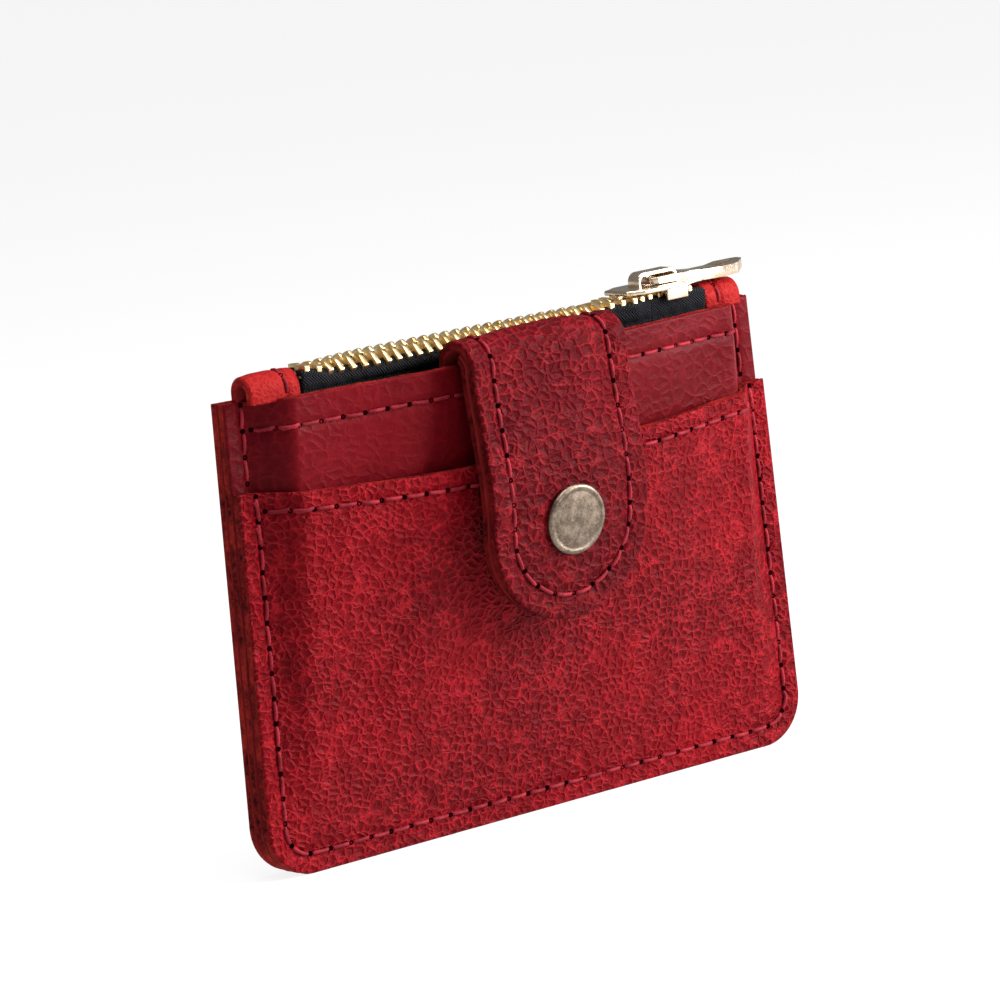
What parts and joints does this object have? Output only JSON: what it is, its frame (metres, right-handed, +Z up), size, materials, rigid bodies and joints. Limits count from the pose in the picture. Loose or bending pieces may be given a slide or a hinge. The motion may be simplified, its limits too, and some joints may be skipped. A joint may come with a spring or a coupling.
{
  "type": "zippered pouch",
  "caption": "Small stitched leather pouch with a zipped compartment, a front card pocket and a strap that folds over the front and snaps shut.",
  "frame": {"origin": "middle of the front panel's flat bottom edge, at mid thickness", "axes": "+X to the right, +Y to the back of the pouch, +Z up from the bottom edge to the zip"},
  "size_m": [0.12, 0.024, 0.0905],
  "materials": {
    "leather": "pebbled full-grain leather, semi-matte",
    "tab_leather": "smooth thin leather",
    "tape": "woven twill tape",
    "thread": "waxed thread",
    "teeth": "polished",
    "slider_metal": "polished pale gold plating",
    "snap_metal": "antique, satin"
  },
  "bodies": {
    "pouch": {"back_panel": "leather", "front_panel": "leather", "card_pocket": "leather", "zip_tape_front": "tape", "zip_tape_back": "tape", "zip_teeth_front_end": "teeth", "zip_teeth_back_end": "teeth", "zip_tab_left": "tab_leather", "zip_tab_right": "tab_leather", "strap_root": "leather", "snap_stud": "snap_metal", "snap_post": "snap_metal", "seam_thread_front": "thread", "seam_thread_back": "thread", "zip_thread_front": "thread", "zip_thread_back": "thread", "pocket_thread": "thread", "tab_thread_left": "thread", "tab_thread_right": "thread"},
    "strap": {"strap_outer": "leather", "strap_lining": "leather", "strap_thread": "thread", "snap_cap": "snap_metal", "snap_socket": "snap_metal"},
    "slider": {"slider_body": "slider_metal", "slider_crown": "slider_metal"},
    "pull": {"pull_tab": "slider_metal"},
    "chain_front_left": {"zip_teeth_front_left": "teeth"},
    "chain_front_right": {"zip_teeth_front_right": "teeth"},
    "chain_back_left": {"zip_teeth_back_left": "teeth"},
    "chain_back_right": {"zip_teeth_back_right": "teeth"}
  },
  "joints": [
    {"name": "slider_travel", "type": "slide", "parent": "pouch", "child": "slider", "axis": [-1, 0, 0], "range_m": [0, 0.0712], "deforming": ["zip_tape_front", "zip_tape_back", "zip_teeth_front_left", "zip_teeth_front_right", "zip_teeth_front_end", "zip_teeth_back_left", "zip_teeth_back_right", "zip_teeth_back_end"]},
    {"name": "pull_swing", "type": "hinge", "parent": "slider", "child": "pull", "pos_m": [0.0339, -0.0021, 0.08855], "axis": [0, -1, 0], "range_deg": [0, 165]},
    {"name": "strap_lift", "type": "hinge", "parent": "pouch", "child": "strap", "pos_m": [0, -0.0095, 0.0845], "axis": [-1, 0, 0], "range_deg": [0, 150], "deforming": ["strap_root"]},
    {"name": "front_left_closes", "type": "hinge", "parent": "pouch", "child": "chain_front_left", "pos_m": [-0.045, -0.0021, 0.0853], "axis": [0, 0, 1], "range_deg": [0, 8.1]},
    {"name": "front_right_closes", "type": "hinge", "parent": "pouch", "child": "chain_front_right", "pos_m": [0.03195, -0.0021, 0.0853], "axis": [0, 0, -1], "range_deg": [0, 2.3]},
    {"name": "back_left_closes", "type": "hinge", "parent": "pouch", "child": "chain_back_left", "pos_m": [-0.045, -0.0021, 0.0853], "axis": [0, 0, -1], "range_deg": [0, 8.1]},
    {"name": "back_right_closes", "type": "hinge", "parent": "pouch", "child": "chain_back_right", "pos_m": [0.03195, -0.0021, 0.0853], "axis": [0, 0, 1], "range_deg": [0, 2.3]}
  ],
  "couplings": [
    {"joint": "front_left_closes", "follows": "slider_travel", "rad_per_m": 1.97},
    {"joint": "front_right_closes", "follows": "slider_travel", "rad_per_m": 0.562},
    {"joint": "back_left_closes", "follows": "slider_travel", "rad_per_m": 1.97},
    {"joint": "back_right_closes", "follows": "slider_travel", "rad_per_m": 0.562}
  ]
}
